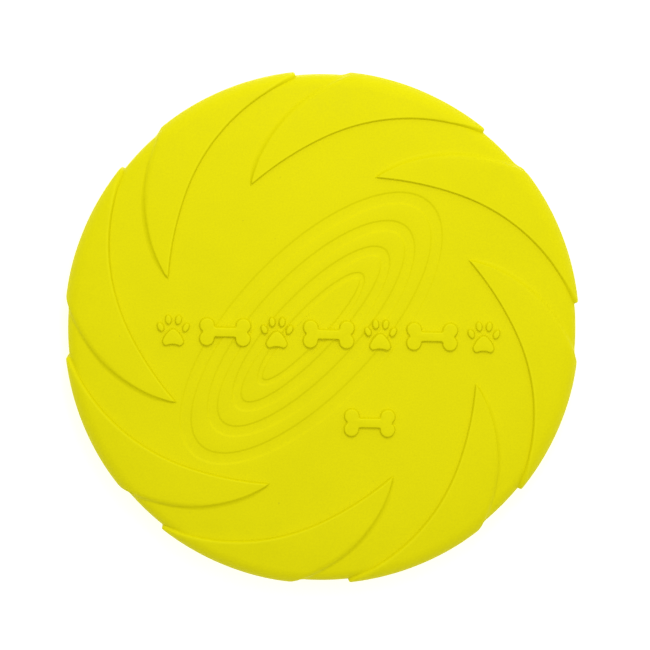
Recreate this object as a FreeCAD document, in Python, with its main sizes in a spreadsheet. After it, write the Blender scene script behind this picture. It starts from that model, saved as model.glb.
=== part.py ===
import FreeCAD, Part

import math
import os

import Sketcher

# A soft flying disc for a dog, moulded in one piece from rubber: a flat flight plate with a
# rounded shoulder, a rim wall and a thick lip. Eight raised crescent blades start on the plate,
# sweep over the shoulder and run down the wall. The plate carries four shallow oval grooves and
# a row of raised paw and bone motifs. Each feature of the moulding is a solid of its own, and
# neighbours meet face to face.
#
# Millimetres. The origin is the centre of the circle that the lip stands on, and +Z is up.

DIMENSIONS = {
    # Shell: flat plate, crown arc, corner arc, wall, all of one skin thickness.
    "plate_top": 22.0,
    "skin": 3.0,
    "plate_radius": 68.0,
    "crown_start": 70.0,
    "crown_radius": 120.0,
    "corner_radius": 4.5,
    "wall_radius": 88.7,
    "wall_top": 13.0,
    # Lip: a bead that thickens the wall inwards and stands on a narrow flat ring.
    "lip_top": 6.0,
    "lip_width": 6.0,
    "lip_outer_round": 2.0,
    "lip_inner_round": 2.6,
    # Blades: crescents of one height. Angles are those of the first blade.
    "blade_count": 8,
    "blade_height": 1.4,
    "blade_foot": 4.0,
    "shell_start": 50.0,
    "tip_radius": 56.5,
    "tip_angle": 26.0,
    "knee_radius": 67.0,
    "knee_angle": 0.1,
    "long_edge_end": -39.0,
    "short_edge_end": -6.5,
    "long_edge_bend": 110.0,
    "long_edge_end_bend": 68.5,
    "short_edge_bend": 51.0,
    "edge_inset": 0.3,
    "clip_radius": 95.0,
    # Oval grooves: long axis tilted from +X, each groove given by its outer line and its width.
    "oval_x": -4.0,
    "oval_y": 0.9,
    "oval_tilt": 46.7,
    "groove_depth": 0.4,
    "groove_length_outer": 60.2,
    "groove_breadth_outer": 26.6,
    "groove_width_outer": 4.2,
    "groove_length_second": 48.6,
    "groove_breadth_second": 18.9,
    "groove_width_second": 3.9,
    "groove_length_third": 37.8,
    "groove_breadth_third": 12.2,
    "groove_width_third": 3.6,
    "groove_length_inner": 26.2,
    "groove_breadth_inner": 6.7,
    "groove_width_inner": 2.1,
    # Raised motifs.
    "relief_height": 1.6,
    "row_middle_x": 2.2,
    "row_middle_y": -1.0,
    "row_tilt": -1.4,
    "row_pitch": 18.0,
    "lower_bone_x": 16.5,
    "lower_bone_y": -32.1,
    "bone_lobe_x": 6.3,
    "bone_lobe_y": 2.3,
    "bone_lobe_radius": 2.8,
    "bone_shaft": 1.9,
    "toe_length": 1.9,
    "toe_breadth": 1.3,
    "inner_toe_x": 1.75,
    "inner_toe_y": 3.9,
    "inner_toe_tilt": 98.0,
    "outer_toe_x": 4.4,
    "outer_toe_y": 1.3,
    "outer_toe_tilt": 115.0,
    "pad_top": 0.3,
    "pad_top_half": 1.5,
    "pad_top_bend": 2.0,
    "pad_side_x": 3.9,
    "pad_side_y": -3.4,
    "pad_side_bend": 9.0,
    "pad_heel_x": 2.2,
    "pad_heel_y": -5.4,
    "pad_heel_bend": 1.7,
    "pad_notch_y": -4.9,
    "pad_notch_bend": 4.0,
}

GROOVES = ("outer", "second", "third", "inner")
ROW = ("paw", "bone", "paw", "bone", "paw", "bone", "paw")

LEFT = 1
RIGHT = -1

doc = FreeCAD.newDocument("FlyingDisc")
nodes = []


def make_sheet():
    """Write the driving dimensions to a spreadsheet, one alias a row."""
    sheet = doc.addObject("Spreadsheet::Sheet", "Sizes")
    for row, (name, value) in enumerate(DIMENSIONS.items(), start=1):
        sheet.set("A%d" % row, name)
        sheet.set("B%d" % row, str(value))
        sheet.setAlias("B%d" % row, name)
    doc.recompute()
    return sheet


sizes = make_sheet()


def cell(name):
    """Expression text of one sheet value."""
    return "Sizes.%s" % name


def bind(target, **expressions):
    """Tie properties of an object to expressions of the sheet."""
    for name, text in expressions.items():
        target.setExpression(name, text)


def place(target, x, y, z, turn="0"):
    """Tie an object's position and its turn about +Z to expressions of the sheet."""
    target.Placement.Rotation.Axis = FreeCAD.Vector(0, 0, 1)
    target.setExpression("Placement.Base.x", x)
    target.setExpression("Placement.Base.y", y)
    target.setExpression("Placement.Base.z", z)
    target.setExpression("Placement.Rotation.Angle", turn)


def finish_node(target, label):
    """Give an object its node name and list it for checking and writing."""
    target.Label = label
    nodes.append(target)
    return target


# Sketch helpers ------------------------------------------------------------------------------


def origin_plane(body, role):
    """One of the body's own origin planes, found by its role."""
    return next(item for item in body.Origin.OriginFeatures if item.Role == role)


def pin(sketch, edge, point, x, y):
    """Hold a point of the sketch at x, y, which are expressions of the sheet."""
    for kind, axis, text in (("DistanceX", -2, x), ("DistanceY", -1, y)):
        value = float(sketch.evalExpression(text))
        if abs(value) < 1e-9:
            sketch.addConstraint(Sketcher.Constraint("PointOnObject", edge, point, axis))
        else:
            index = sketch.addConstraint(Sketcher.Constraint(kind, -1, 1, edge, point, value))
            sketch.setExpression("Constraints[%d]" % index, text)


def arc_edge(begin, end, radius, turn, is_long):
    """Arc from begin to end that turns left or right, and the numbers of its two ends."""
    chord = end - begin
    half = chord.Length / 2
    reach = math.sqrt(max(radius ** 2 - half ** 2, 0.0))
    side = FreeCAD.Vector(-chord.y, chord.x, 0).normalize()
    if is_long:
        reach = -reach
    centre = (begin + end) / 2 + side * reach * turn
    circle = Part.Circle(centre, FreeCAD.Vector(0, 0, 1), radius)
    first, last = (begin, end) if turn == LEFT else (end, begin)
    arc = Part.ArcOfCircle(circle, circle.parameter(first), circle.parameter(last))
    return arc, (1, 2) if turn == LEFT else (2, 1)


def draw_loop(sketch, corners):
    """Closed outline. A corner is (x, y) with a straight edge to the next corner, or
    (x, y, radius, turn) or (x, y, radius, turn, True) with an arc or a long arc to it."""
    points = [FreeCAD.Vector(float(sketch.evalExpression(corner[0])),
                             float(sketch.evalExpression(corner[1])), 0) for corner in corners]
    ends = []
    for index, corner in enumerate(corners):
        begin = points[index]
        end = points[(index + 1) % len(points)]
        if len(corner) == 2:
            edge = sketch.addGeometry(Part.LineSegment(begin, end))
            ends.append((edge, 1, 2))
        else:
            radius = float(sketch.evalExpression(corner[2]))
            arc, numbers = arc_edge(begin, end, radius, corner[3], len(corner) == 5)
            edge = sketch.addGeometry(arc)
            ends.append((edge, numbers[0], numbers[1]))
    for index, (edge, begin, end) in enumerate(ends):
        next_edge, next_begin, _ = ends[(index + 1) % len(ends)]
        sketch.addConstraint(Sketcher.Constraint("Coincident", edge, end, next_edge, next_begin))
    for (edge, begin, _), corner in zip(ends, corners):
        pin(sketch, edge, begin, corner[0], corner[1])
        if len(corner) > 2:
            value = float(sketch.evalExpression(corner[2]))
            index = sketch.addConstraint(Sketcher.Constraint("Radius", edge, value))
            sketch.setExpression("Constraints[%d]" % index, corner[2])


def new_body(label, role):
    """Body with one empty sketch on an origin plane."""
    body = doc.addObject("PartDesign::Body", label)
    sketch = body.newObject("Sketcher::SketchObject", label + "_sketch")
    sketch.AttachmentSupport = [(origin_plane(body, role), "")]
    sketch.MapMode = "FlatFace"
    doc.recompute()
    return body, sketch


def revolved_body(label, corners):
    """Solid of revolution about +Z, from a loop of radius and height."""
    body, sketch = new_body(label, "XZ_Plane")
    draw_loop(sketch, corners)
    turn = body.newObject("PartDesign::Revolution", label + "_revolution")
    turn.Profile = sketch
    turn.ReferenceAxis = (sketch, ["V_Axis"])
    turn.Angle = 360.0
    sketch.Visibility = False
    doc.recompute()
    return body


# Shell ---------------------------------------------------------------------------------------

CROWN_SLOPE = ("asin((Sizes.wall_radius - Sizes.corner_radius - Sizes.crown_start)"
               " / (Sizes.crown_radius - Sizes.corner_radius))")
CORNER_LEVEL = ("(Sizes.plate_top - Sizes.crown_radius"
                " + (Sizes.crown_radius - Sizes.corner_radius) * cos(%s))" % CROWN_SLOPE)


def shoulder_corners(offset, outwards):
    """Crown and corner arcs at an offset from the outer skin, outwards or back inwards."""
    crown_bend = "(Sizes.crown_radius + %s)" % offset
    corner_bend = "(Sizes.corner_radius + %s)" % offset
    start = (cell("crown_start"), "Sizes.plate_top + %s" % offset)
    joint = ("Sizes.crown_start + %s * sin(%s)" % (crown_bend, CROWN_SLOPE),
             "Sizes.plate_top - Sizes.crown_radius + %s * cos(%s)" % (crown_bend, CROWN_SLOPE))
    side = ("Sizes.wall_radius + %s" % offset, CORNER_LEVEL)
    if outwards:
        return [start + (crown_bend, RIGHT), joint + (corner_bend, RIGHT), side]
    return [side + (corner_bend, LEFT), joint + (crown_bend, LEFT), start]


def make_groove(name):
    """Ring between an oval and the same oval moved in by the groove's width."""
    length = cell("groove_length_" + name)
    breadth = cell("groove_breadth_" + name)
    width = cell("groove_width_" + name)
    solids = []
    for side, inset in (("outside", "0"), ("inside", width)):
        oval = doc.addObject("Part::Ellipse", "groove_%s_%s_oval" % (name, side))
        bind(oval, MajorRadius="%s - %s" % (length, inset),
             MinorRadius="%s - %s" % (breadth, inset))
        place(oval, cell("oval_x"), cell("oval_y"), "Sizes.plate_top - Sizes.groove_depth",
              cell("oval_tilt"))
        solid = doc.addObject("Part::Extrusion", "groove_%s_%s" % (name, side))
        solid.Base = oval
        solid.DirMode = "Custom"
        solid.Dir = FreeCAD.Vector(0, 0, 1)
        solid.Solid = True
        bind(solid, LengthFwd="Sizes.groove_depth * 2")
        solids.append(solid)
    ring = doc.addObject("Part::Cut", "groove_" + name)
    ring.Base, ring.Tool = solids
    return ring


def make_flight_plate():
    """Flat disc with the four oval grooves sunk in its top."""
    disc = doc.addObject("Part::Cylinder", "plate_blank")
    bind(disc, Radius=cell("plate_radius"), Height=cell("skin"))
    place(disc, "0", "0", "Sizes.plate_top - Sizes.skin")
    rings = doc.addObject("Part::MultiFuse", "grooves")
    rings.Shapes = [make_groove(name) for name in GROOVES]
    plate = doc.addObject("Part::Cut", "flight_plate")
    plate.Base = disc
    plate.Tool = rings
    return finish_node(plate, "flight_plate")


def make_shoulder():
    """Ring that turns from the plate down to the wall."""
    corners = [(cell("plate_radius"), cell("plate_top"))]
    corners += shoulder_corners("0", True)
    corners += [(cell("wall_radius"), cell("wall_top")),
                ("Sizes.wall_radius - Sizes.skin", cell("wall_top"))]
    corners += shoulder_corners("(0 - Sizes.skin)", False)
    corners += [(cell("plate_radius"), "Sizes.plate_top - Sizes.skin")]
    finish_node(revolved_body("shoulder_ring", corners), "shoulder_ring")


def make_wall():
    """Upright ring between the shoulder and the lip."""
    inside = "Sizes.wall_radius - Sizes.skin"
    corners = [(inside, cell("lip_top")), (cell("wall_radius"), cell("lip_top")),
               (cell("wall_radius"), cell("wall_top")), (inside, cell("wall_top"))]
    finish_node(revolved_body("rim_wall", corners), "rim_wall")


def make_lip():
    """Bead along the bottom of the wall, thicker towards the inside, with a flat underside."""
    inside = "Sizes.wall_radius - Sizes.lip_width"
    corners = [(cell("wall_radius"), cell("lip_top")),
               ("Sizes.wall_radius - Sizes.skin", cell("lip_top")),
               (inside, cell("lip_inner_round"), cell("lip_inner_round"), LEFT),
               (inside + " + Sizes.lip_inner_round", "0"),
               ("Sizes.wall_radius - Sizes.lip_outer_round", "0",
                cell("lip_outer_round"), LEFT),
               (cell("wall_radius"), cell("lip_outer_round"))]
    finish_node(revolved_body("grip_lip", corners), "grip_lip")


# Blades --------------------------------------------------------------------------------------


def polar(radius, angle):
    """Corner at a radius and an angle from +X, both expressions of the sheet."""
    return ("%s * cos(%s)" % (radius, angle), "%s * sin(%s)" % (radius, angle))


def blade_shell():
    """Skin of one blade height all round the disc, from the plate down to the blades' feet."""
    height = cell("blade_height")
    corners = [(cell("shell_start"), cell("plate_top"))]
    corners += shoulder_corners("0", True)
    corners += [(cell("wall_radius"), cell("blade_foot")),
                ("Sizes.wall_radius + %s" % height, cell("blade_foot"))]
    corners += shoulder_corners(height, False)
    corners += [(cell("shell_start"), "Sizes.plate_top + %s" % height)]
    return revolved_body("blade_shell", corners)


def blade_outline():
    """Upright prism on the plan of one blade, open past the wall."""
    edge = "(Sizes.wall_radius - Sizes.edge_inset)"
    body, sketch = new_body("blade_plan", "XY_Plane")
    corners = [
        polar(cell("tip_radius"), cell("tip_angle")) + (cell("long_edge_bend"), RIGHT),
        polar(cell("knee_radius"), cell("knee_angle")) + (cell("long_edge_end_bend"), RIGHT),
        polar(edge, cell("long_edge_end")),
        polar(cell("clip_radius"), cell("long_edge_end")) + (cell("clip_radius"), LEFT),
        polar(cell("clip_radius"), cell("short_edge_end")),
        polar(edge, cell("short_edge_end")) + (cell("short_edge_bend"), LEFT),
    ]
    draw_loop(sketch, corners)
    pad = body.newObject("PartDesign::Pad", "blade_plan_pad")
    pad.Profile = sketch
    bind(pad, Length="Sizes.plate_top + Sizes.blade_height * 2")
    sketch.Visibility = False
    doc.recompute()
    return body


def make_blades():
    """The same crescent at equal angles round the disc."""
    shell = blade_shell()
    outline = blade_outline()
    for number in range(int(sizes.blade_count)):
        label = "blade_%d" % (number + 1)
        blade = doc.addObject("Part::Common", label)
        blade.Base = shell
        blade.Tool = outline
        place(blade, "0", "0", "0", "%d * 360 / Sizes.blade_count" % number)
        finish_node(blade, label)


# Raised motifs -------------------------------------------------------------------------------


def draw_bone(sketch):
    """Bone along X: a straight shaft with two round lobes at each end."""
    lobe = cell("bone_lobe_radius")
    neck = ("(Sizes.bone_lobe_x - sqrt(Sizes.bone_lobe_radius ^ 2"
            " - (Sizes.bone_lobe_y - Sizes.bone_shaft) ^ 2))")
    notch = ("(Sizes.bone_lobe_x + sqrt(Sizes.bone_lobe_radius ^ 2"
             " - Sizes.bone_lobe_y ^ 2))")
    draw_loop(sketch, [
        ("0 - " + neck, "0 - Sizes.bone_shaft"),
        (neck, "0 - Sizes.bone_shaft", lobe, LEFT, True),
        (notch, "0", lobe, LEFT, True),
        (neck, cell("bone_shaft")),
        ("0 - " + neck, cell("bone_shaft"), lobe, LEFT, True),
        ("0 - " + notch, "0", lobe, LEFT, True),
    ])


def draw_paw(sketch):
    """Paw print: a heel pad of seven arcs. Its toes are solids of their own."""
    top = cell("pad_top")
    top_half = cell("pad_top_half")
    side_x, side_y = cell("pad_side_x"), cell("pad_side_y")
    heel_x, heel_y = cell("pad_heel_x"), cell("pad_heel_y")
    draw_loop(sketch, [
        (side_x, side_y, cell("pad_side_bend"), LEFT),
        (top_half, top, cell("pad_top_bend"), LEFT),
        ("0 - " + top_half, top, cell("pad_side_bend"), LEFT),
        ("0 - " + side_x, side_y, cell("pad_heel_bend"), LEFT),
        ("0 - " + heel_x, heel_y, cell("pad_notch_bend"), RIGHT),
        ("0", cell("pad_notch_y"), cell("pad_notch_bend"), RIGHT),
        (heel_x, heel_y, cell("pad_heel_bend"), LEFT),
    ])


def raised_body(label, draw):
    """Solid of a motif's outline, from the groove floor to the motif's top, at its own origin."""
    body, sketch = new_body(label, "XY_Plane")
    draw(sketch)
    pad = body.newObject("PartDesign::Pad", label + "_pad")
    pad.Profile = sketch
    bind(pad, Length="Sizes.relief_height + Sizes.groove_depth")
    sketch.Visibility = False
    doc.recompute()
    return body


def toe(label, x, y, tilt):
    """One oval toe of a paw print, at the print's own origin."""
    oval = doc.addObject("Part::Ellipse", label + "_oval")
    bind(oval, MajorRadius=cell("toe_length"), MinorRadius=cell("toe_breadth"))
    place(oval, x, y, "0", tilt)
    solid = doc.addObject("Part::Extrusion", label)
    solid.Base = oval
    solid.DirMode = "Custom"
    solid.Dir = FreeCAD.Vector(0, 0, 1)
    solid.Solid = True
    bind(solid, LengthFwd="Sizes.relief_height + Sizes.groove_depth")
    return solid


def paw_blank():
    """Heel pad and four toes as one group of separate solids."""
    parts = [raised_body("paw_pad", draw_paw)]
    for name in ("inner", "outer"):
        x, y, tilt = cell(name + "_toe_x"), cell(name + "_toe_y"), cell(name + "_toe_tilt")
        parts.append(toe("paw_%s_toe_left" % name, "0 - " + x, y, tilt))
        parts.append(toe("paw_%s_toe_right" % name, x, y, "180 - " + tilt))
    group = doc.addObject("Part::Compound", "paw_blank")
    group.Links = parts
    return group


def make_motif(label, blank, plate, x, y):
    """Motif at x, y, with its underside fitted to the plate and its grooves."""
    copy = doc.addObject("Part::Compound", label + "_blank")
    copy.Links = [blank]
    place(copy, x, y, "Sizes.plate_top - Sizes.groove_depth", cell("row_tilt"))
    motif = doc.addObject("Part::Cut", label)
    motif.Base = copy
    motif.Tool = plate
    finish_node(motif, label)


def make_motifs(plate):
    """Row of paw prints and bones across the plate, and one more bone below it."""
    blanks = {"paw": paw_blank(), "bone": raised_body("bone_blank", draw_bone)}
    counts = {"paw": 0, "bone": 0}
    for index, kind in enumerate(ROW):
        counts[kind] += 1
        along = "(%.1f) * Sizes.row_pitch" % (index - (len(ROW) - 1) / 2)
        make_motif("%s_relief_%d" % (kind, counts[kind]), blanks[kind], plate,
                   "Sizes.row_middle_x + %s * cos(Sizes.row_tilt)" % along,
                   "Sizes.row_middle_y + %s * sin(Sizes.row_tilt)" % along)
    make_motif("bone_relief_4", blanks["bone"], plate,
               cell("lower_bone_x"), cell("lower_bone_y"))


# Checks and files ----------------------------------------------------------------------------


def check_document():
    """Stop if any object failed or any node's shape isn't sound."""
    for item in doc.Objects:
        if "Invalid" in item.State or "Error" in item.State:
            raise RuntimeError("%s failed: %s" % (item.Name, item.State))
    for node in nodes:
        shape = node.Shape
        if shape.isNull() or not shape.isValid() or not shape.Solids:
            raise RuntimeError("%s has no valid solid" % node.Label)
        print("%-18s solids %d volume %10.1f" % (node.Label, len(shape.Solids), shape.Volume))


def write_parts():
    """One STEP file for each node, named after it."""
    os.makedirs("parts", exist_ok=True)
    for node in nodes:
        node.Shape.exportStep("parts/%s.step" % node.Label)


flight_plate = make_flight_plate()
make_shoulder()
make_wall()
make_lip()
make_blades()
make_motifs(flight_plate)
doc.recompute()
check_document()
write_parts()
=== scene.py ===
import math

import bpy
import numpy as np
from mathutils import Euler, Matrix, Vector


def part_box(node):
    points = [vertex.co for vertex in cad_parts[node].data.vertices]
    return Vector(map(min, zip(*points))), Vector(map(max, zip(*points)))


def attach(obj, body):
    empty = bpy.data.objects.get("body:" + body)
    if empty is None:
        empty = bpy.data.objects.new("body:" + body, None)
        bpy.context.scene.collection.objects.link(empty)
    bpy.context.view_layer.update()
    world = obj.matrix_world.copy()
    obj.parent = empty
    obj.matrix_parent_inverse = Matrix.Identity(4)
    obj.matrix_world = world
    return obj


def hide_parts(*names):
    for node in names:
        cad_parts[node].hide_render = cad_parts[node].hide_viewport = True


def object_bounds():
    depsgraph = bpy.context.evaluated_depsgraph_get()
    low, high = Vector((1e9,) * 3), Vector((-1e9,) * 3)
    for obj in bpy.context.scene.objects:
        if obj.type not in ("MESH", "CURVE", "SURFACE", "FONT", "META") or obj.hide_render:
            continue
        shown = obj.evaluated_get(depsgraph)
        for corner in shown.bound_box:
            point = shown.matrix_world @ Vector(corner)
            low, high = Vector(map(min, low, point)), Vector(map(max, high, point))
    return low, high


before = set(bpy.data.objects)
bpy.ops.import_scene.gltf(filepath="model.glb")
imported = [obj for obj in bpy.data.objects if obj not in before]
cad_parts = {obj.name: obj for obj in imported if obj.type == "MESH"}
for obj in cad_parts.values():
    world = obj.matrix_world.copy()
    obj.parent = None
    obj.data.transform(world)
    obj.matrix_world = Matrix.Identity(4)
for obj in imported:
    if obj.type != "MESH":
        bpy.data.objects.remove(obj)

# Soft rubber flying disc. Every visible piece is a closed mesh built here round the packed
# frame: the plate with its oval grooves, the shoulder, the wall, the lip, eight crescent blades
# and the raised motifs. Lengths are in millimetres until a mesh is written, in metres.

cad_low, cad_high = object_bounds()

MM = 0.001
BODY = "root"
TAU = 2 * math.pi


def box_mm(node):
    """Lowest and highest corner of a CAD node, in millimetres."""
    low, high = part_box(node)
    return Vector(low) / MM, Vector(high) / MM


# Sizes from the frame ------------------------------------------------------------------------

PLATE_LOW, PLATE_HIGH = box_mm("flight_plate")
PLATE_TOP = PLATE_HIGH.z
SKIN = PLATE_HIGH.z - PLATE_LOW.z
PLATE_RADIUS = (PLATE_HIGH.x - PLATE_LOW.x) / 2
WALL_LOW, WALL_HIGH = box_mm("rim_wall")
WALL_TOP = WALL_HIGH.z
LIP_TOP = WALL_LOW.z
WALL_RADIUS = (WALL_HIGH.x - WALL_LOW.x) / 2
BLADE_HEIGHT = box_mm("blade_1")[1].z - PLATE_TOP
BLADE_FOOT = box_mm("blade_1")[0].z
RELIEF_HEIGHT = box_mm("bone_relief_4")[1].z - PLATE_TOP
BLADES = [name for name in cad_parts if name.startswith("blade_")]

# Shape of the skin: flat plate, crown arc, corner arc, wall.
CROWN_START = 70.0
CROWN_RADIUS = 120.0
CORNER_RADIUS = 4.5
CORNER_X = WALL_RADIUS - CORNER_RADIUS
SLOPE = math.asin((CORNER_X - CROWN_START) / (CROWN_RADIUS - CORNER_RADIUS))
CORNER_Z = PLATE_TOP - CROWN_RADIUS + (CROWN_RADIUS - CORNER_RADIUS) * math.cos(SLOPE)
CROWN_END = CROWN_START + CROWN_RADIUS * SLOPE
CORNER_END = CROWN_END + CORNER_RADIUS * (math.pi / 2 - SLOPE)

# Oval grooves, from the outermost: half length, half breadth and width of each.
OVAL_CENTRE = (-4.0, 0.9)
OVAL_TILT = math.radians(46.7)
GROOVE_DEPTH = 0.4
GROOVES = ((60.2, 26.6, 4.2), (48.6, 18.9, 3.9), (37.8, 12.2, 3.6), (26.2, 6.7, 2.1))
GROOVE_SOFTNESS = 0.5

# Plan of the first blade: radius and angle of its tip and of the knee in its long edge, the angles
# at which its edges reach the wall, and the radii of its arcs.
TIP = (56.5, math.radians(26.0))
KNEE = (67.0, math.radians(0.1))
LONG_END = math.radians(-39.0)
SHORT_END = math.radians(-6.5)
LONG_BEND = 110.0
LONG_END_BEND = 68.5
SHORT_BEND = 51.0
EDGE_INSET = 0.3

# Section of a blade's long edge: a steep wall, then a crest rounded up to the full height. The
# rim values hold from RIM_RUN past RIM_START along the skin.
WALL_RUN, RIM_WALL_RUN = 0.42, 0.294
WALL_SHARE, RIM_WALL_SHARE = 0.86, 0.731
CREST_END, RIM_CREST_END = 0.72, 1.27
CREST_CURVE = 2.6
RIM_START = 80.0
RIM_RUN = 9.0

# Section of its short edge: a hollow ramp with a soft crest takes RAMP_SHARE of the height, and a
# dome that is DOME_RAMPS ramps wide takes the rest. Most of the ramp lies outside the plan.
RAMP_CURVE = 2.2
RAMP_SOFTNESS = 0.16
RAMP_SHARE = 0.86
RAMP_FOOT = 0.95
DOME_RAMPS = 3.0

# Width of the ramp at the tip, and how it changes along the skin: by how much, from where and
# over what run.
RAMP_TIP = 0.8
RAMP_CHANGES = ((1.3, TIP[0], 7.0), (-0.5, 74.0, 8.0), (4.4, 84.0, 9.0))

# Ends of a blade: the point of the tip, the round at the foot, the hidden root, and how far the
# feet of the slopes sink into the skin.
TIP_REACH = 0.5
TIP_STATIONS = 5
FOOT_ROUND = 0.9
ROOT_DEPTH = 0.35
SINK = 0.03
SINK_SHARE = 0.02

# Mesh of a blade: stations along it, and columns across it, given by their distance from the
# long edge, evenly across the middle, and by their share of the ramp. The limits are the largest
# shares of a narrow blade's width that the columns at each edge may take.
TOP_STATIONS = 110
WALL_STATIONS = 16
END_CROWDING = 0.3
NEAR_LONG = np.array([0.0, 0.05, 0.15, 0.26, WALL_RUN, 0.50, 0.60, CREST_END, 0.90, 1.2, 1.6])
NEAR_LONG_LIMIT = 0.35
MIDDLE_COLUMNS = 20
NEAR_SHORT = np.linspace(0, 1, 12)
NEAR_SHORT_REACH = 1.15
NEAR_SHORT_LIMIT = 0.5

# Wear and a painted highlight along the long edge's crest, and painted shade in its crease: the
# width of the crest band, and of the crease and its strength.
WORN_HIGHLIT_CREST_WIDTH = 0.22
CREASE_SHADE_WIDTH = 0.16
CREASE_SHADE_STRENGTH = 0.7

# Underside of the plate: radii of its level rings inside the border, and radius and height of
# the rings of the gate mark in its middle.
LEVEL_RADII = (52.0, 34.0, 17.0, 8.0)
GATE_MARK = ((3.4, 0.0), (3.1, -0.12), (2.8, -0.5), (2.4, -0.62), (1.2, -0.66))

SEGMENTS = 288
SHARP_ANGLE = math.radians(50)


# Skin ----------------------------------------------------------------------------------------


def skin(path, lift=0.0):
    """Radius and height at a distance along the skin from its centre, lifted off it."""
    path = np.asarray(path, float)
    crown = np.clip(path - CROWN_START, 0, CROWN_END - CROWN_START) / CROWN_RADIUS
    corner = SLOPE + np.clip(path - CROWN_END, 0, CORNER_END - CROWN_END) / CORNER_RADIUS
    flat = path <= CROWN_START
    on_crown = path <= CROWN_END
    angle = np.where(flat, 0.0, np.where(on_crown, crown, corner))
    radius = np.where(flat, path, np.where(on_crown, CROWN_START + CROWN_RADIUS * np.sin(crown),
                                           CORNER_X + CORNER_RADIUS * np.sin(corner)))
    height = np.where(flat, PLATE_TOP,
                      np.where(on_crown, PLATE_TOP - CROWN_RADIUS * (1 - np.cos(crown)),
                               CORNER_Z + CORNER_RADIUS * np.cos(corner)))
    height = height - np.maximum(path - CORNER_END, 0.0)
    return radius + lift * np.sin(angle), height + lift * np.cos(angle)


def path_at_radius(radius):
    """Distance along the skin at which it has this radius, above the wall."""
    radius = np.asarray(radius, float)
    crown = np.arcsin(np.clip((radius - CROWN_START) / CROWN_RADIUS, 0, 1))
    corner = np.arcsin(np.clip((radius - CORNER_X) / CORNER_RADIUS, -1, 1))
    joint = CROWN_START + CROWN_RADIUS * math.sin(SLOPE)
    return np.where(radius <= CROWN_START, radius,
                    np.where(radius <= joint, CROWN_START + CROWN_RADIUS * crown,
                             CROWN_END + CORNER_RADIUS * (corner - SLOPE)))


def path_at_height(height):
    """Distance along the skin at which the wall has this height."""
    return CORNER_END + CORNER_Z - height


def warp(points):
    """The soft moulding isn't quite flat: three slow waves that fade towards the lip."""
    x, y, z = points[:, 0], points[:, 1], points[:, 2]
    wave = 0.10 * np.sin(x / 17.0 + 0.6) * np.cos(y / 21.0 - 0.4)
    wave += 0.07 * np.sin((x + 1.7 * y) / 38.0 + 1.9)
    wave += 0.05 * np.cos((1.3 * x - y) / 26.0 + 0.8)
    moved = points.copy()
    moved[:, 2] += wave * np.clip(z / PLATE_TOP, 0, 1) ** 2
    return moved


# Meshes --------------------------------------------------------------------------------------


def add_piece(name, node, points, faces, form):
    """Closed mesh piece that stands for a CAD node. form is 1 on rubbed edges and painted
    highlights, -1 where shade is painted in creases.
    """
    mesh = bpy.data.meshes.new(name)
    mesh.from_pydata((warp(np.asarray(points, float)) * MM).tolist(), [], faces)
    mesh.validate()
    mesh.shade_smooth()
    mesh.set_sharp_from_angle(angle=SHARP_ANGLE)
    layer = mesh.attributes.new("form", "FLOAT", "POINT")
    layer.data.foreach_set("value", np.asarray(form, np.float32))
    piece = bpy.data.objects.new(name, mesh)
    bpy.context.collection.objects.link(piece)
    mesh.materials.append(rubber)
    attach(piece, BODY)
    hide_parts(node)


def grid_faces(rows, columns, wrap_rows, wrap_columns, start=0, flip=False):
    """Quads between the points of a grid stored row by row."""
    faces = []
    for row in range(rows if wrap_rows else rows - 1):
        for column in range(columns if wrap_columns else columns - 1):
            next_row = (row + 1) % rows
            next_column = (column + 1) % columns
            quad = [start + row * columns + column, start + row * columns + next_column,
                    start + next_row * columns + next_column, start + next_row * columns + column]
            faces.append(quad[::-1] if flip else quad)
    return faces


def turned_ring(name, node, profile, form):
    """Ring turned about +Z from a closed profile of radius and height."""
    profile = np.asarray(profile, float)
    angles = OVAL_TILT + np.arange(SEGMENTS) * TAU / SEGMENTS
    radius, height = profile[:, 0], profile[:, 1]
    points = np.stack([np.outer(radius, np.cos(angles)), np.outer(radius, np.sin(angles)),
                       np.outer(height, np.ones(SEGMENTS))], axis=-1).reshape(-1, 3)
    faces = grid_faces(len(profile), SEGMENTS, True, True)
    add_piece(name, node, points, faces, np.repeat(form, SEGMENTS))


def smooth_step(value):
    """0 to 1 with level ends."""
    value = np.clip(value, 0, 1)
    return value * value * (3 - 2 * value)


# Plate ---------------------------------------------------------------------------------------


def plate_rings():
    """Rings of the plate's top from its middle outwards: half length, half breadth, centre x
    and y, and height."""
    rings = []
    last_length, last_breadth, last_width = GROOVES[-1]
    for scale in (0.25, 0.5, 0.75, 0.9):
        rings.append([(last_length - last_width) * scale, (last_breadth - last_width) * scale,
                      *OVAL_CENTRE, PLATE_TOP])
    steps = np.linspace(-1, 1, 9)
    for length, breadth, width in reversed(GROOVES):
        for inset, sense in ((width, -1), (0.0, 1)):
            for step in steps:
                offset = step * GROOVE_SOFTNESS - inset
                rise = smooth_step((sense * step + 1) / 2)
                level = PLATE_TOP - GROOVE_DEPTH * (1 - rise)
                rings.append([length + offset, breadth + offset, *OVAL_CENTRE, level])
    first = np.array(rings[-1])
    border = np.array([PLATE_RADIUS, PLATE_RADIUS, 0.0, 0.0, PLATE_TOP])
    for share in np.linspace(0, 1, 11)[1:]:
        rings.append(list(first + (border - first) * share))
    return rings


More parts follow.
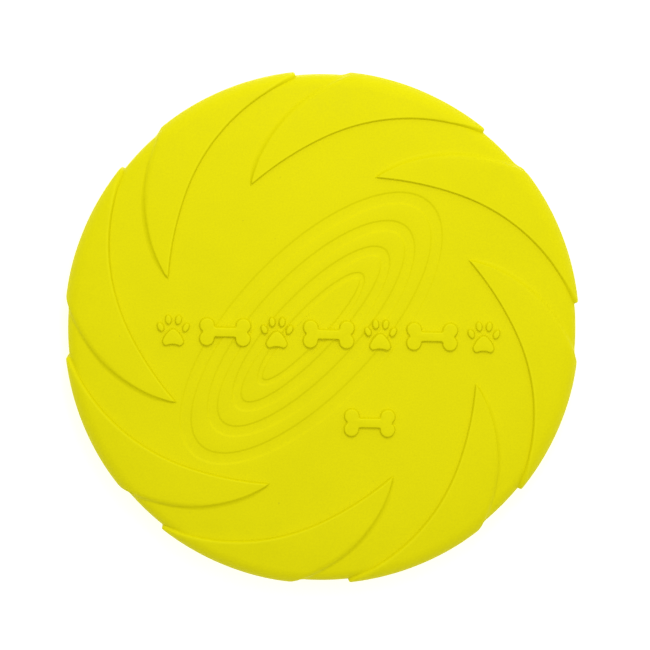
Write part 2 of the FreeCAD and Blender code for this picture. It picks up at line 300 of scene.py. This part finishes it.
def make_plate():
    """Disc whose top follows the ovals and whose underside has a small gate mark."""
    eccentric = np.arange(SEGMENTS) * TAU / SEGMENTS
    points = [[*OVAL_CENTRE, PLATE_TOP]]
    for half_length, half_breadth, x, y, z in plate_rings():
        along = half_length * np.cos(eccentric)
        across = half_breadth * np.sin(eccentric)
        ring = np.stack([x + along * math.cos(OVAL_TILT) - across * math.sin(OVAL_TILT),
                         y + along * math.sin(OVAL_TILT) + across * math.cos(OVAL_TILT),
                         np.full(SEGMENTS, z)], axis=-1)
        points.extend(ring.tolist())
    bottom = PLATE_TOP - SKIN
    angles = OVAL_TILT + eccentric
    level_rings = tuple((radius, 0.0) for radius in (PLATE_RADIUS, *LEVEL_RADII))
    for radius, height in level_rings + GATE_MARK:
        ring = np.stack([radius * np.cos(angles), radius * np.sin(angles),
                         np.full(SEGMENTS, bottom + height)], axis=-1)
        points.extend(ring.tolist())
    points.append([0.0, 0.0, bottom + GATE_MARK[-1][1]])
    rows = (len(points) - 2) // SEGMENTS
    faces = [[0, 1 + column, 1 + (column + 1) % SEGMENTS] for column in range(SEGMENTS)]
    faces += grid_faces(rows, SEGMENTS, False, True, start=1, flip=True)
    last = len(points) - 1
    base = 1 + (rows - 1) * SEGMENTS
    faces += [[last, base + (column + 1) % SEGMENTS, base + column] for column in range(SEGMENTS)]
    add_piece("moulded_plate", "flight_plate", points, faces, np.zeros(len(points)))


# Shoulder, wall and lip ----------------------------------------------------------------------


def shell_loop(paths):
    """Closed profile: the outer skin down these distances, and the inner skin back up."""
    outer = np.stack(skin(paths), axis=-1)
    inner = np.stack(skin(paths, -SKIN), axis=-1)[::-1]
    return np.concatenate([outer, inner])[::-1]


def make_shoulder():
    """Crown and corner arcs, and the start of the wall."""
    paths = np.concatenate([
        [PLATE_RADIUS, (PLATE_RADIUS + CROWN_START) / 2],
        np.linspace(CROWN_START, CROWN_END, 13),
        np.linspace(CROWN_END, CORNER_END, 17)[1:],
        [(CORNER_END + path_at_height(WALL_TOP)) / 2, path_at_height(WALL_TOP)],
    ])
    profile = shell_loop(paths)
    turned_ring("moulded_shoulder", "shoulder_ring", profile, np.zeros(len(profile)))


def make_wall():
    """Upright ring between the shoulder and the lip."""
    profile = shell_loop(np.linspace(path_at_height(WALL_TOP), path_at_height(LIP_TOP), 7))
    turned_ring("moulded_wall", "rim_wall", profile, np.zeros(len(profile)))


def bezier(start, first, second, end, count):
    """Points of a cubic curve, without its start."""
    share = np.linspace(0, 1, count + 1)[1:, None]
    start, first, second, end = (np.asarray(p, float) for p in (start, first, second, end))
    return ((1 - share) ** 3 * start + 3 * (1 - share) ** 2 * share * first
            + 3 * (1 - share) * share ** 2 * second + share ** 3 * end)


def quarter(centre, radius, start, end, count):
    """Points of an arc between two angles in degrees, without its start."""
    angles = np.radians(np.linspace(start, end, count + 1)[1:])
    return np.stack([centre[0] + radius * np.cos(angles), centre[1] + radius * np.sin(angles)],
                    axis=-1)


def make_lip():
    """Bead with a flat underside, a soft swell inside and a fine parting line outside."""
    width, outer_round, inner_round = 6.0, 2.0, 2.6
    round_steps, swell_steps = 10, 12
    inside = WALL_RADIUS - width
    flat_middle = WALL_RADIUS - outer_round - 0.7
    seam_level, seam_half, seam_height = 2.7, 0.22, 0.12
    shoulder_half, shoulder_height = 0.08, seam_height * 0.7
    outer = [(WALL_RADIUS, height) for height in (LIP_TOP, 5.0, 4.0, 3.3, seam_level + seam_half)]
    outer += [(WALL_RADIUS + shoulder_height, seam_level + shoulder_half),
              (WALL_RADIUS + seam_height, seam_level),
              (WALL_RADIUS + shoulder_height, seam_level - shoulder_half)]
    outer += [(WALL_RADIUS, height) for height in (seam_level - seam_half, 2.2, outer_round)]
    swell = bezier((inside, inner_round), (inside, inner_round + 1.9),
                   (WALL_RADIUS - SKIN, LIP_TOP - 2.0), (WALL_RADIUS - SKIN, LIP_TOP - 0.2),
                   swell_steps)
    profile = np.concatenate([
        outer,
        quarter((WALL_RADIUS - outer_round, outer_round), outer_round, 0, -90, round_steps),
        [(flat_middle, 0.0), (inside + inner_round, 0.0)],
        quarter((inside + inner_round, inner_round), inner_round, -90, -180, round_steps),
        swell,
        [(WALL_RADIUS - SKIN, LIP_TOP)],
    ])
    rubbed_steps, rubbed_form = 8, 0.8
    form = np.zeros(len(profile))
    form[len(outer):len(outer) + rubbed_steps] = rubbed_form
    turned_ring("moulded_lip", "grip_lip", profile[::-1], form[::-1])


# Blades --------------------------------------------------------------------------------------


def to_plan(polar):
    """Plan point at a radius and an angle."""
    return np.array([polar[0] * math.cos(polar[1]), polar[0] * math.sin(polar[1])])


def arc_points(begin, end, radius, turn, count, long_way=False):
    """Points of an arc from begin to end that turns left (1) or right (-1)."""
    begin, end = np.asarray(begin, float), np.asarray(end, float)
    chord = end - begin
    half = np.hypot(*chord) / 2
    reach = math.sqrt(max(radius ** 2 - half ** 2, 0.0)) * (-1 if long_way else 1)
    side = np.array([-chord[1], chord[0]]) / (2 * half)
    centre = (begin + end) / 2 + side * reach * turn
    first = math.atan2(*(begin - centre)[::-1])
    last = math.atan2(*(end - centre)[::-1])
    sweep = (last - first) * turn % TAU * turn
    angles = first + sweep * np.linspace(0, 1, count)
    return centre + radius * np.stack([np.cos(angles), np.sin(angles)], axis=-1)


def resample(line, shares):
    """Points at shares of an open line's length."""
    length = np.concatenate([[0], np.cumsum(np.hypot(*np.diff(line, axis=0).T))])
    return np.stack([np.interp(shares * length[-1], length, line[:, axis]) for axis in (0, 1)],
                    axis=-1)


def unroll(plan):
    """Plan points on the skin as path and angle."""
    radius = np.hypot(plan[:, 0], plan[:, 1])
    return np.stack([path_at_radius(radius), np.arctan2(plan[:, 1], plan[:, 0])], axis=-1)


def flatten(unrolled):
    """Path and angle as points of the flattened skin, where distances are measured."""
    path, angle = unrolled[..., 0], unrolled[..., 1]
    return np.stack([path * np.cos(angle), path * np.sin(angle)], axis=-1)


def edge_of_blade(plan, end_angle, shares_top, shares_wall):
    """A blade's edge as path and angle: along its plan curve, then straight down the wall."""
    top = unroll(resample(plan, shares_top))
    top[-1, 1] = end_angle
    foot = path_at_height(BLADE_FOOT)
    wall = np.stack([top[-1, 0] + (foot - top[-1, 0]) * shares_wall[1:],
                     np.full(len(shares_wall) - 1, end_angle)], axis=-1)
    return np.concatenate([top, wall])


def distance_to(points, line):
    """Shortest distance from each point to a line of many short pieces."""
    begin, end = line[:-1], line[1:]
    along = end - begin
    offset = points[:, None, :] - begin[None]
    share = np.clip((offset * along).sum(-1) / np.maximum((along ** 2).sum(-1), 1e-12), 0, 1)
    return np.sqrt(((offset - share[..., None] * along) ** 2).sum(-1)).min(axis=1)


def long_edge_profile(distance, path):
    """Steep wall with a rounded top, rounder where it runs down to the rim."""
    rim = smooth_step((path - RIM_START) / RIM_RUN)
    wall_share = WALL_SHARE + (RIM_WALL_SHARE - WALL_SHARE) * rim
    wall_run = WALL_RUN + (RIM_WALL_RUN - WALL_RUN) * rim
    crest_end = CREST_END + (RIM_CREST_END - CREST_END) * rim
    rise = wall_share * distance / wall_run
    turn = np.clip((distance - wall_run) / (crest_end - wall_run), 0, 1)
    crest = wall_share + (1 - wall_share) * (1 - (1 - turn) ** CREST_CURVE)
    return np.where(distance < wall_run, rise, crest)


def short_edge_profile(share):
    """Hollow ramp that steepens up to a soft crest, then a gentle dome, by share of the ramp."""
    rise = (1 + RAMP_SOFTNESS) * np.clip(share, 0, 1) ** RAMP_CURVE
    ramp = rise - np.maximum(rise - (1 - RAMP_SOFTNESS), 0) ** 2 / (4 * RAMP_SOFTNESS)
    dome = 1 - np.maximum(1 - share / DOME_RAMPS, 0) ** 2
    return RAMP_SHARE * ramp + (1 - RAMP_SHARE) * dome


def ramp_width(path):
    """Width of the short edge's ramp: narrow at the tip, even along the plate, a little narrower
    on the crown and wide on the wall."""
    return RAMP_TIP + sum(change * smooth_step((path - start) / run)
                          for change, start, run in RAMP_CHANGES)


def shift_left(line, distance):
    """Move a flat line sideways, to the left of its direction."""
    along = np.gradient(line, axis=0)
    left = np.stack([-along[:, 1], along[:, 0]], axis=-1)
    left /= np.maximum(np.hypot(left[:, 0], left[:, 1]), 1e-9)[:, None]
    return line + left * np.asarray(distance).reshape(-1, 1)


def unflatten(flat):
    """Flattened skin as path and angle, no lower than the blade's foot."""
    path = np.minimum(np.hypot(flat[:, 0], flat[:, 1]), path_at_height(BLADE_FOOT))
    return np.stack([path, np.arctan2(flat[:, 1], flat[:, 0])], axis=-1)


def blade_feet():
    """Where the slopes of the first blade's long and short edges start, from tip to foot, as
    lines on the flattened skin."""
    even = np.linspace(0, 1, TOP_STATIONS)
    shares_top = smooth_step(even) * END_CROWDING + even * (1 - END_CROWDING)
    shares_wall = np.linspace(0, 1, WALL_STATIONS)
    rim = WALL_RADIUS - EDGE_INSET
    tip, knee = to_plan(TIP), to_plan(KNEE)
    long_plan = np.concatenate([
        arc_points(tip, knee, LONG_BEND, -1, 170),
        arc_points(knee, to_plan((rim, LONG_END)), LONG_END_BEND, -1, 280)[1:]])
    short_plan = arc_points(tip, to_plan((rim, SHORT_END)), SHORT_BEND, -1, 400)
    long_edge = edge_of_blade(long_plan, LONG_END, shares_top, shares_wall)
    short_edge = edge_of_blade(short_plan, SHORT_END, shares_top, shares_wall)
    flat_long, flat_short = flatten(long_edge), flatten(short_edge)
    axis = flat_long[TIP_STATIONS] + flat_short[TIP_STATIONS] - 2 * flat_long[0]
    apex = flat_long[0] - TIP_REACH * axis / np.hypot(*axis)
    flat_long = shift_left(flat_long, np.full(len(flat_long), -WALL_RUN / 2))
    flat_short = shift_left(flat_short, RAMP_FOOT * ramp_width(short_edge[:, 0]))
    steps = np.arange(TIP_STATIONS)[:, None]
    for line in (flat_long, flat_short):
        line[:TIP_STATIONS] = apex + (line[TIP_STATIONS] - apex) * steps / TIP_STATIONS
    return flat_long, flat_short


def column_shares(width, ramp):
    """Shares of the blade's width, close together on the wall and on the ramp."""
    width = max(width, 1e-6)
    first = NEAR_LONG / max(NEAR_LONG[-1] / NEAR_LONG_LIMIT, width)
    last = 1 - min(NEAR_SHORT_REACH * ramp / width, NEAR_SHORT_LIMIT) * NEAR_SHORT[::-1]
    middle = np.linspace(first[-1], last[0], MIDDLE_COLUMNS + 2)[1:-1]
    return np.concatenate([first, middle, last])


def blade_grid():
    """Path and angle, lift and form of the first blade's top, by station from tip to foot."""
    flat_long, flat_short = blade_feet()
    long_edge, short_edge = unflatten(flat_long), unflatten(flat_short)
    widths = np.hypot(*(flat_short - flat_long).T)
    ramps = ramp_width(short_edge[:, 0])
    shares = np.array([column_shares(*pair) for pair in zip(widths, ramps)])[..., None]
    grid = long_edge[:, None, :] * (1 - shares) + short_edge[:, None, :] * shares
    path = grid[..., 0].ravel()
    flat = flatten(grid).reshape(-1, 2)
    to_long = distance_to(flat, flat_long)
    to_short = distance_to(flat, flat_short)
    to_foot = path_at_height(BLADE_FOOT) - path
    foot = 1 - (1 - np.clip(to_foot / FOOT_ROUND, 0, 1)) ** 2
    share = (long_edge_profile(to_long, path) * short_edge_profile(to_short / ramp_width(path))
             * foot)
    lift = BLADE_HEIGHT * share - SINK * (1 - np.clip(share / SINK_SHARE, 0, 1))
    # Painted highlight with wear along the crest, painted shade in the crease at the wall's foot.
    crest = np.exp(-((to_long - CREST_END) / WORN_HIGHLIT_CREST_WIDTH) ** 2) * np.clip(share, 0, 1)
    crease_shade = -np.exp(-(to_long / CREASE_SHADE_WIDTH) ** 2) * CREASE_SHADE_STRENGTH
    shape = grid.shape[:2]
    return grid, lift.reshape(shape), (crest + crease_shade).reshape(shape)


def make_blades():
    """The same crescent at equal angles round the disc."""
    grid, lift, form = blade_grid()
    rows, columns = lift.shape
    pitch = TAU / len(BLADES)
    size = rows * columns
    for number in range(len(BLADES)):
        angle = grid[..., 1] + number * pitch
        layers = []
        for height in (lift, np.full_like(lift, -ROOT_DEPTH)):
            radius, level = skin(grid[..., 0], height)
            layers.append(np.stack([radius * np.cos(angle), radius * np.sin(angle), level],
                                   axis=-1).reshape(-1, 3))
        points = np.concatenate(layers)
        faces = grid_faces(rows, columns, False, False)
        faces += grid_faces(rows, columns, False, False, start=size, flip=True)
        rim = [row * columns for row in range(rows)]
        rim += [(rows - 1) * columns + column for column in range(1, columns)]
        rim += [row * columns + columns - 1 for row in range(rows - 2, -1, -1)]
        rim += list(range(columns - 2, 0, -1))
        for here, after in zip(rim, rim[1:] + rim[:1]):
            faces.append([here, after, after + size, here + size])
        name = "blade_%d" % (number + 1)
        add_piece("moulded_" + name, name, points, faces,
                  np.concatenate([form.ravel(), np.zeros(size)]))


# Raised motifs -------------------------------------------------------------------------------

LOBE_X, LOBE_Y, LOBE_RADIUS, SHAFT = 6.3, 2.3, 2.8, 1.9
TOE_LENGTH, TOE_BREADTH = 1.9, 1.3
MOTIF_ROUNDING = 0.45
MOTIF_DRAFT = 0.36
MOTIF_ROOT = 0.7


def closed_line(edges):
    """Closed outline from point lists laid end to end."""
    return np.concatenate([edge[:-1] for edge in edges])


def soften(line, spacing=0.12, blur=0.28):
    """Evenly spaced closed outline with its corners rounded."""
    closed = np.concatenate([line, line[:1]])
    length = np.hypot(*np.diff(closed, axis=0).T).sum()
    count = int(round(length / spacing))
    even = resample(closed, np.arange(count) / count)
    reach = int(3 * blur / spacing)
    weights = np.exp(-0.5 * (np.arange(-reach, reach + 1) * spacing / blur) ** 2)
    weights /= weights.sum()
    total = np.zeros_like(even)
    for weight, shift in zip(weights, range(-reach, reach + 1)):
        total += weight * np.roll(even, shift, axis=0)
    return total


def bone_outline():
    """A straight shaft with two round lobes at each end."""
    neck = LOBE_X - math.sqrt(LOBE_RADIUS ** 2 - (LOBE_Y - SHAFT) ** 2)
    notch = LOBE_X + math.sqrt(LOBE_RADIUS ** 2 - LOBE_Y ** 2)
    edges = [
        np.linspace((-neck, -SHAFT), (neck, -SHAFT), 30),
        arc_points((neck, -SHAFT), (notch, 0), LOBE_RADIUS, 1, 40, True),
        arc_points((notch, 0), (neck, SHAFT), LOBE_RADIUS, 1, 40, True),
        np.linspace((neck, SHAFT), (-neck, SHAFT), 30),
        arc_points((-neck, SHAFT), (-notch, 0), LOBE_RADIUS, 1, 40, True),
        arc_points((-notch, 0), (-neck, -SHAFT), LOBE_RADIUS, 1, 40, True),
    ]
    return [soften(closed_line(edges))]


def toe_outline(x, y, tilt):
    """Oval toe at x, y, with its long axis tilted from +X by some degrees."""
    angles = np.linspace(0, TAU, 60, endpoint=False)
    along, across = TOE_LENGTH * np.cos(angles), TOE_BREADTH * np.sin(angles)
    tilt = math.radians(tilt)
    return np.stack([x + along * math.cos(tilt) - across * math.sin(tilt),
                     y + along * math.sin(tilt) + across * math.cos(tilt)], axis=-1)


def paw_outlines():
    """A heel pad and four toes."""
    top, side, heel, notch = (1.5, 0.3), (3.9, -3.4), (2.2, -5.4), (0.0, -4.9)
    top_bend, side_bend, heel_bend, notch_bend = 2.0, 9.0, 1.7, 4.0

    def mirror(point):
        return (-point[0], point[1])

    edges = [
        arc_points(side, top, side_bend, 1, 30),
        arc_points(top, mirror(top), top_bend, 1, 30),
        arc_points(mirror(top), mirror(side), side_bend, 1, 30),
        arc_points(mirror(side), mirror(heel), heel_bend, 1, 30),
        arc_points(mirror(heel), notch, notch_bend, -1, 20),
        arc_points(notch, heel, notch_bend, -1, 20),
        arc_points(heel, side, heel_bend, 1, 30),
    ]
    outlines = [soften(closed_line(edges))]
    for x, y, tilt in ((1.75, 3.9, 98.0), (4.4, 1.3, 115.0)):
        outlines.append(soften(toe_outline(-x, y, tilt)))
        outlines.append(soften(toe_outline(x, y, 180.0 - tilt)))
    return outlines


def raised_solid(outline, points, faces, form):
    """Add one raised shape, from rings of inset, level and form: hidden root, drafted wall,
    rounded shoulder and level top."""
    along = np.roll(outline, -1, axis=0) - np.roll(outline, 1, axis=0)
    inwards = np.stack([-along[:, 1], along[:, 0]], axis=-1)
    inwards /= np.hypot(inwards[:, 0], inwards[:, 1])[:, None]
    wall_top = RELIEF_HEIGHT - MOTIF_ROUNDING
    # The third number of each ring is its form: painted shade near the foot (negative) and a
    # painted highlight on the rounded shoulder (positive).
    rings = [(-0.10, -MOTIF_ROOT, 0.0), (-0.04, -MOTIF_ROOT / 2, -0.15), (0.0, 0.0, -0.2),
             (0.05, 0.15, -0.2), (MOTIF_DRAFT / 2, wall_top / 2, 0.0),
             (MOTIF_DRAFT, wall_top, 0.2)]
    for angle in np.radians((22.5, 45.0, 67.5, 90.0)):
        rings.append((MOTIF_DRAFT + MOTIF_ROUNDING * (1 - math.cos(angle)),
                      wall_top + MOTIF_ROUNDING * math.sin(angle), math.sin(2 * angle)))
    start = len(points)
    count = len(outline)
    for inset, level, shape in rings:
        ring = outline + inwards * inset
        points.extend([x, y, PLATE_TOP + level] for x, y in ring)
        form.extend([shape] * count)
    faces.extend(grid_faces(len(rings), count, False, True, start=start))
    faces.append([start + (len(rings) - 1) * count + index for index in range(count)])
    faces.append([start + index for index in range(count - 1, -1, -1)])


def make_motif(node, outlines, tilt):
    """Raised motif in the middle of its node's place."""
    low, high = box_mm(node)
    middle = (low + high) / 2
    extent = np.concatenate(outlines)
    cosine, sine = math.cos(tilt), math.sin(tilt)
    turned = extent @ np.array([[cosine, sine], [-sine, cosine]])
    shift = np.array([middle.x, middle.y]) - (turned.min(axis=0) + turned.max(axis=0)) / 2
    points, faces, form = [], [], []
    for outline in outlines:
        placed = outline @ np.array([[cosine, sine], [-sine, cosine]]) + shift
        raised_solid(placed, points, faces, form)
    add_piece("moulded_" + node, node, points, faces, form)


def make_motifs():
    """Paw prints and bones, each in place of its node."""
    row = [(box_mm(name)[0] + box_mm(name)[1]) / 2 for name in ("paw_relief_1", "paw_relief_4")]
    tilt = math.atan2(row[1].y - row[0].y, row[1].x - row[0].x)
    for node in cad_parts:
        if "paw_relief" in node:
            make_motif(node, paw_outlines(), tilt)
        elif "bone_relief" in node:
            make_motif(node, bone_outline(), tilt)


# Materials -----------------------------------------------------------------------------------


PLAIN = (0.775, 0.726, 0.0003, 1)
WARM = (0.800, 0.744, 0.0007, 1)
CLOUDY = (0.820, 0.766, 0.0014, 1)
GRAIN = (0.62, 0.570, 0.0020, 1)
SPECK = (0.40, 0.360, 0.0100, 1)
# Lighter colour for wear on the lip's edge and for a painted highlight with wear on blade and
# motif crests.
WEAR_AND_HIGHLIGHT = (0.850, 0.800, 0.0040, 1)
# Darker colour for painted shade in the creases at the feet of blade and motif walls.
CREASE_SHADE = (0.560, 0.505, 0.0020, 1)


def new_material(name):
    """Material, its tree and output, with nothing else in it, and a maker of linked nodes."""
    material = bpy.data.materials.new(name)
    material.use_nodes = True
    tree = material.node_tree
    tree.nodes.clear()
    output = tree.nodes.new("ShaderNodeOutputMaterial")

    def add(kind, inputs=None, **settings):
        node = tree.nodes.new(kind)
        for key, value in settings.items():
            setattr(node, key, value)
        for key, value in (inputs or {}).items():
            if isinstance(value, bpy.types.NodeSocket):
                tree.links.new(value, node.inputs[key])
            else:
                node.inputs[key].default_value = value
        return node

    return material, tree, output, add


def noise(add, place, scale, detail, roughness=0.5):
    """Noise at this place, from 0 to 1."""
    return add("ShaderNodeTexNoise", {"Vector": place, "Scale": scale, "Detail": detail,
                                      "Roughness": roughness}).outputs["Fac"]


def spread(add, value, low, high, out_low, out_high):
    """Straight line from one range of values to another, held at its ends."""
    return add("ShaderNodeMapRange", {"Value": value, "From Min": low, "From Max": high,
                                      "To Min": out_low, "To Max": out_high}).outputs["Result"]


def mix(add, share, first, second):
    """Colour between two colours."""
    node = add("ShaderNodeMix", data_type="RGBA")
    tree = node.id_data
    for socket, value in ((node.inputs[0], share), (node.inputs[6], first),
                          (node.inputs[7], second)):
        if isinstance(value, bpy.types.NodeSocket):
            tree.links.new(value, socket)
        else:
            socket.default_value = value
    return node.outputs[2]


def plus(add, first, second):
    """Sum of two values."""
    return add("ShaderNodeMath", {0: first, 1: second}, operation="ADD").outputs[0]


def make_rubber():
    """Matte moulded natural rubber: slow mottling, fine grain, rubbed edges with painted
    highlights on crests, painted shade in creases.
    """
    material, tree, output, add = new_material("soft_rubber")
    place = add("ShaderNodeTexCoord").outputs["Object"]
    form = add("ShaderNodeAttribute", attribute_name="form").outputs["Fac"]
    mottle = noise(add, place, 26.0, 4.0, 0.55)
    cloud = noise(add, place, 120.0, 5.0, 0.6)
    grain = noise(add, place, 1500.0, 3.0, 0.6)
    speck = noise(add, place, 420.0, 2.0)

    colour = mix(add, spread(add, mottle, 0.32, 0.68, 0.0, 1.0), PLAIN, WARM)
    colour = mix(add, spread(add, cloud, 0.35, 0.70, 0.0, 0.45), colour, CLOUDY)
    colour = mix(add, spread(add, grain, 0.30, 0.62, 0.22, 0.0), colour, GRAIN)
    colour = mix(add, spread(add, speck, 0.765, 0.800, 0.0, 0.22), colour, SPECK)
    # Lighter where form is positive: wear on the lip, and a painted highlight with wear on crests.
    colour = mix(add, spread(add, form, 0.1, 1.0, 0.0, 0.50), colour, WEAR_AND_HIGHLIGHT)
    # Darker where form is negative: painted shade in creases.
    colour = mix(add, spread(add, form, -0.1, -1.0, 0.0, 0.45), colour, CREASE_SHADE)

    rough = spread(add, cloud, 0.25, 0.75, 0.52, 0.66)
    rough = plus(add, rough, spread(add, grain, 0.3, 0.7, -0.04, 0.05))
    rough = plus(add, rough, spread(add, form, 0.2, 1.0, 0.0, -0.08))

    fine = add("ShaderNodeBump", {"Height": grain, "Strength": 0.22, "Distance": 0.00008})
    soft = add("ShaderNodeBump", {"Height": cloud, "Strength": 0.30, "Distance": 0.00030,
                                  "Normal": fine.outputs["Normal"]})
    shader = add("ShaderNodeBsdfPrincipled", {
        "Base Color": colour, "Roughness": rough, "Normal": soft.outputs["Normal"],
        "Specular IOR Level": 0.06, "IOR": 1.5})
    tree.links.new(shader.outputs["BSDF"], output.inputs["Surface"])
    return material


def make_floor():
    """Plain pale studio floor."""
    size, gap = 6.0, 0.0002
    bpy.ops.mesh.primitive_grid_add(x_subdivisions=2, y_subdivisions=2, size=size)
    floor = bpy.context.active_object
    floor.name = "studio_floor"
    floor.location.z = min(cad_low.z, 0.0) - gap
    material, tree, output, add = new_material("pale_floor")
    place = add("ShaderNodeTexCoord").outputs["Object"]
    tone = spread(add, noise(add, place, 3.0, 2.0), 0.3, 0.7, 0.0, 1.0)
    colour = mix(add, tone, (0.93, 0.93, 0.93, 1), (0.95, 0.95, 0.95, 1))
    shader = add("ShaderNodeBsdfPrincipled", {"Base Color": colour, "Roughness": 0.9,
                                              "Specular IOR Level": 0.1})
    shader.inputs["Emission Color"].default_value = (1, 1, 1, 1)
    shader.inputs["Emission Strength"].default_value = 0.48
    tree.links.new(shader.outputs["BSDF"], output.inputs["Surface"])
    floor.data.materials.append(material)


# Light and camera ----------------------------------------------------------------------------


def aim(item, target):
    """Turn an object's -Z axis towards a target."""
    item.rotation_mode = "QUATERNION"
    item.rotation_quaternion = (Vector(target) - item.location).to_track_quat("-Z", "Y")


def make_light(name, place, size, power):
    """Square lamp that shines on the origin."""
    light = bpy.data.lights.new(name, "AREA")
    light.shape = "SQUARE"
    light.size = size
    light.energy = power
    item = bpy.data.objects.new(name, light)
    bpy.context.collection.objects.link(item)
    item.location = place
    aim(item, (0, 0, 0))


def make_studio():
    """Soft white room that grows brighter upwards and towards +Y, with one large lamp above.
    Its brightness is a level and a growth along the direction one looks in."""
    level = 0.436
    growth = (0.066, 0.186, 0.465)
    make_light("key_light", (0.03, 0.22, 0.42), size=0.16, power=0.60)
    world = bpy.data.worlds.new("studio")
    world.use_nodes = True
    tree = world.node_tree
    background = tree.nodes["Background"]
    background.inputs["Color"].default_value = (1, 1, 1, 1)
    place = tree.nodes.new("ShaderNodeTexCoord")
    towards = tree.nodes.new("ShaderNodeVectorMath")
    towards.operation = "DOT_PRODUCT"
    towards.inputs[1].default_value = growth
    strength = tree.nodes.new("ShaderNodeMath")
    strength.operation = "ADD"
    strength.inputs[1].default_value = level
    tree.links.new(place.outputs["Generated"], towards.inputs[0])
    tree.links.new(towards.outputs["Value"], strength.inputs[0])
    tree.links.new(strength.outputs[0], background.inputs["Strength"])
    bpy.context.scene.world = world
    bpy.context.scene.view_settings.view_transform = "Standard"


def make_camera():
    """Almost straight above, leaning towards +Y and a little towards -X."""
    lean = math.radians(6.0)
    sideways = math.radians(0.9)
    distance = 1.03
    lens, sensor = 164.1, 36.0
    target = Vector((0.00094, 0.00222, PLATE_TOP * MM))
    data = bpy.data.cameras.new("camera")
    data.lens = lens
    data.sensor_width = sensor
    camera = bpy.data.objects.new("camera", data)
    bpy.context.collection.objects.link(camera)
    turn = Euler((-lean, -sideways, 0), "XYZ")
    camera.rotation_euler = turn
    camera.location = target + turn.to_matrix() @ Vector((0, 0, distance))
    bpy.context.scene.camera = camera


rubber = make_rubber()
make_plate()
make_shoulder()
make_wall()
make_lip()
make_blades()
make_motifs()
make_floor()
make_studio()
make_camera()
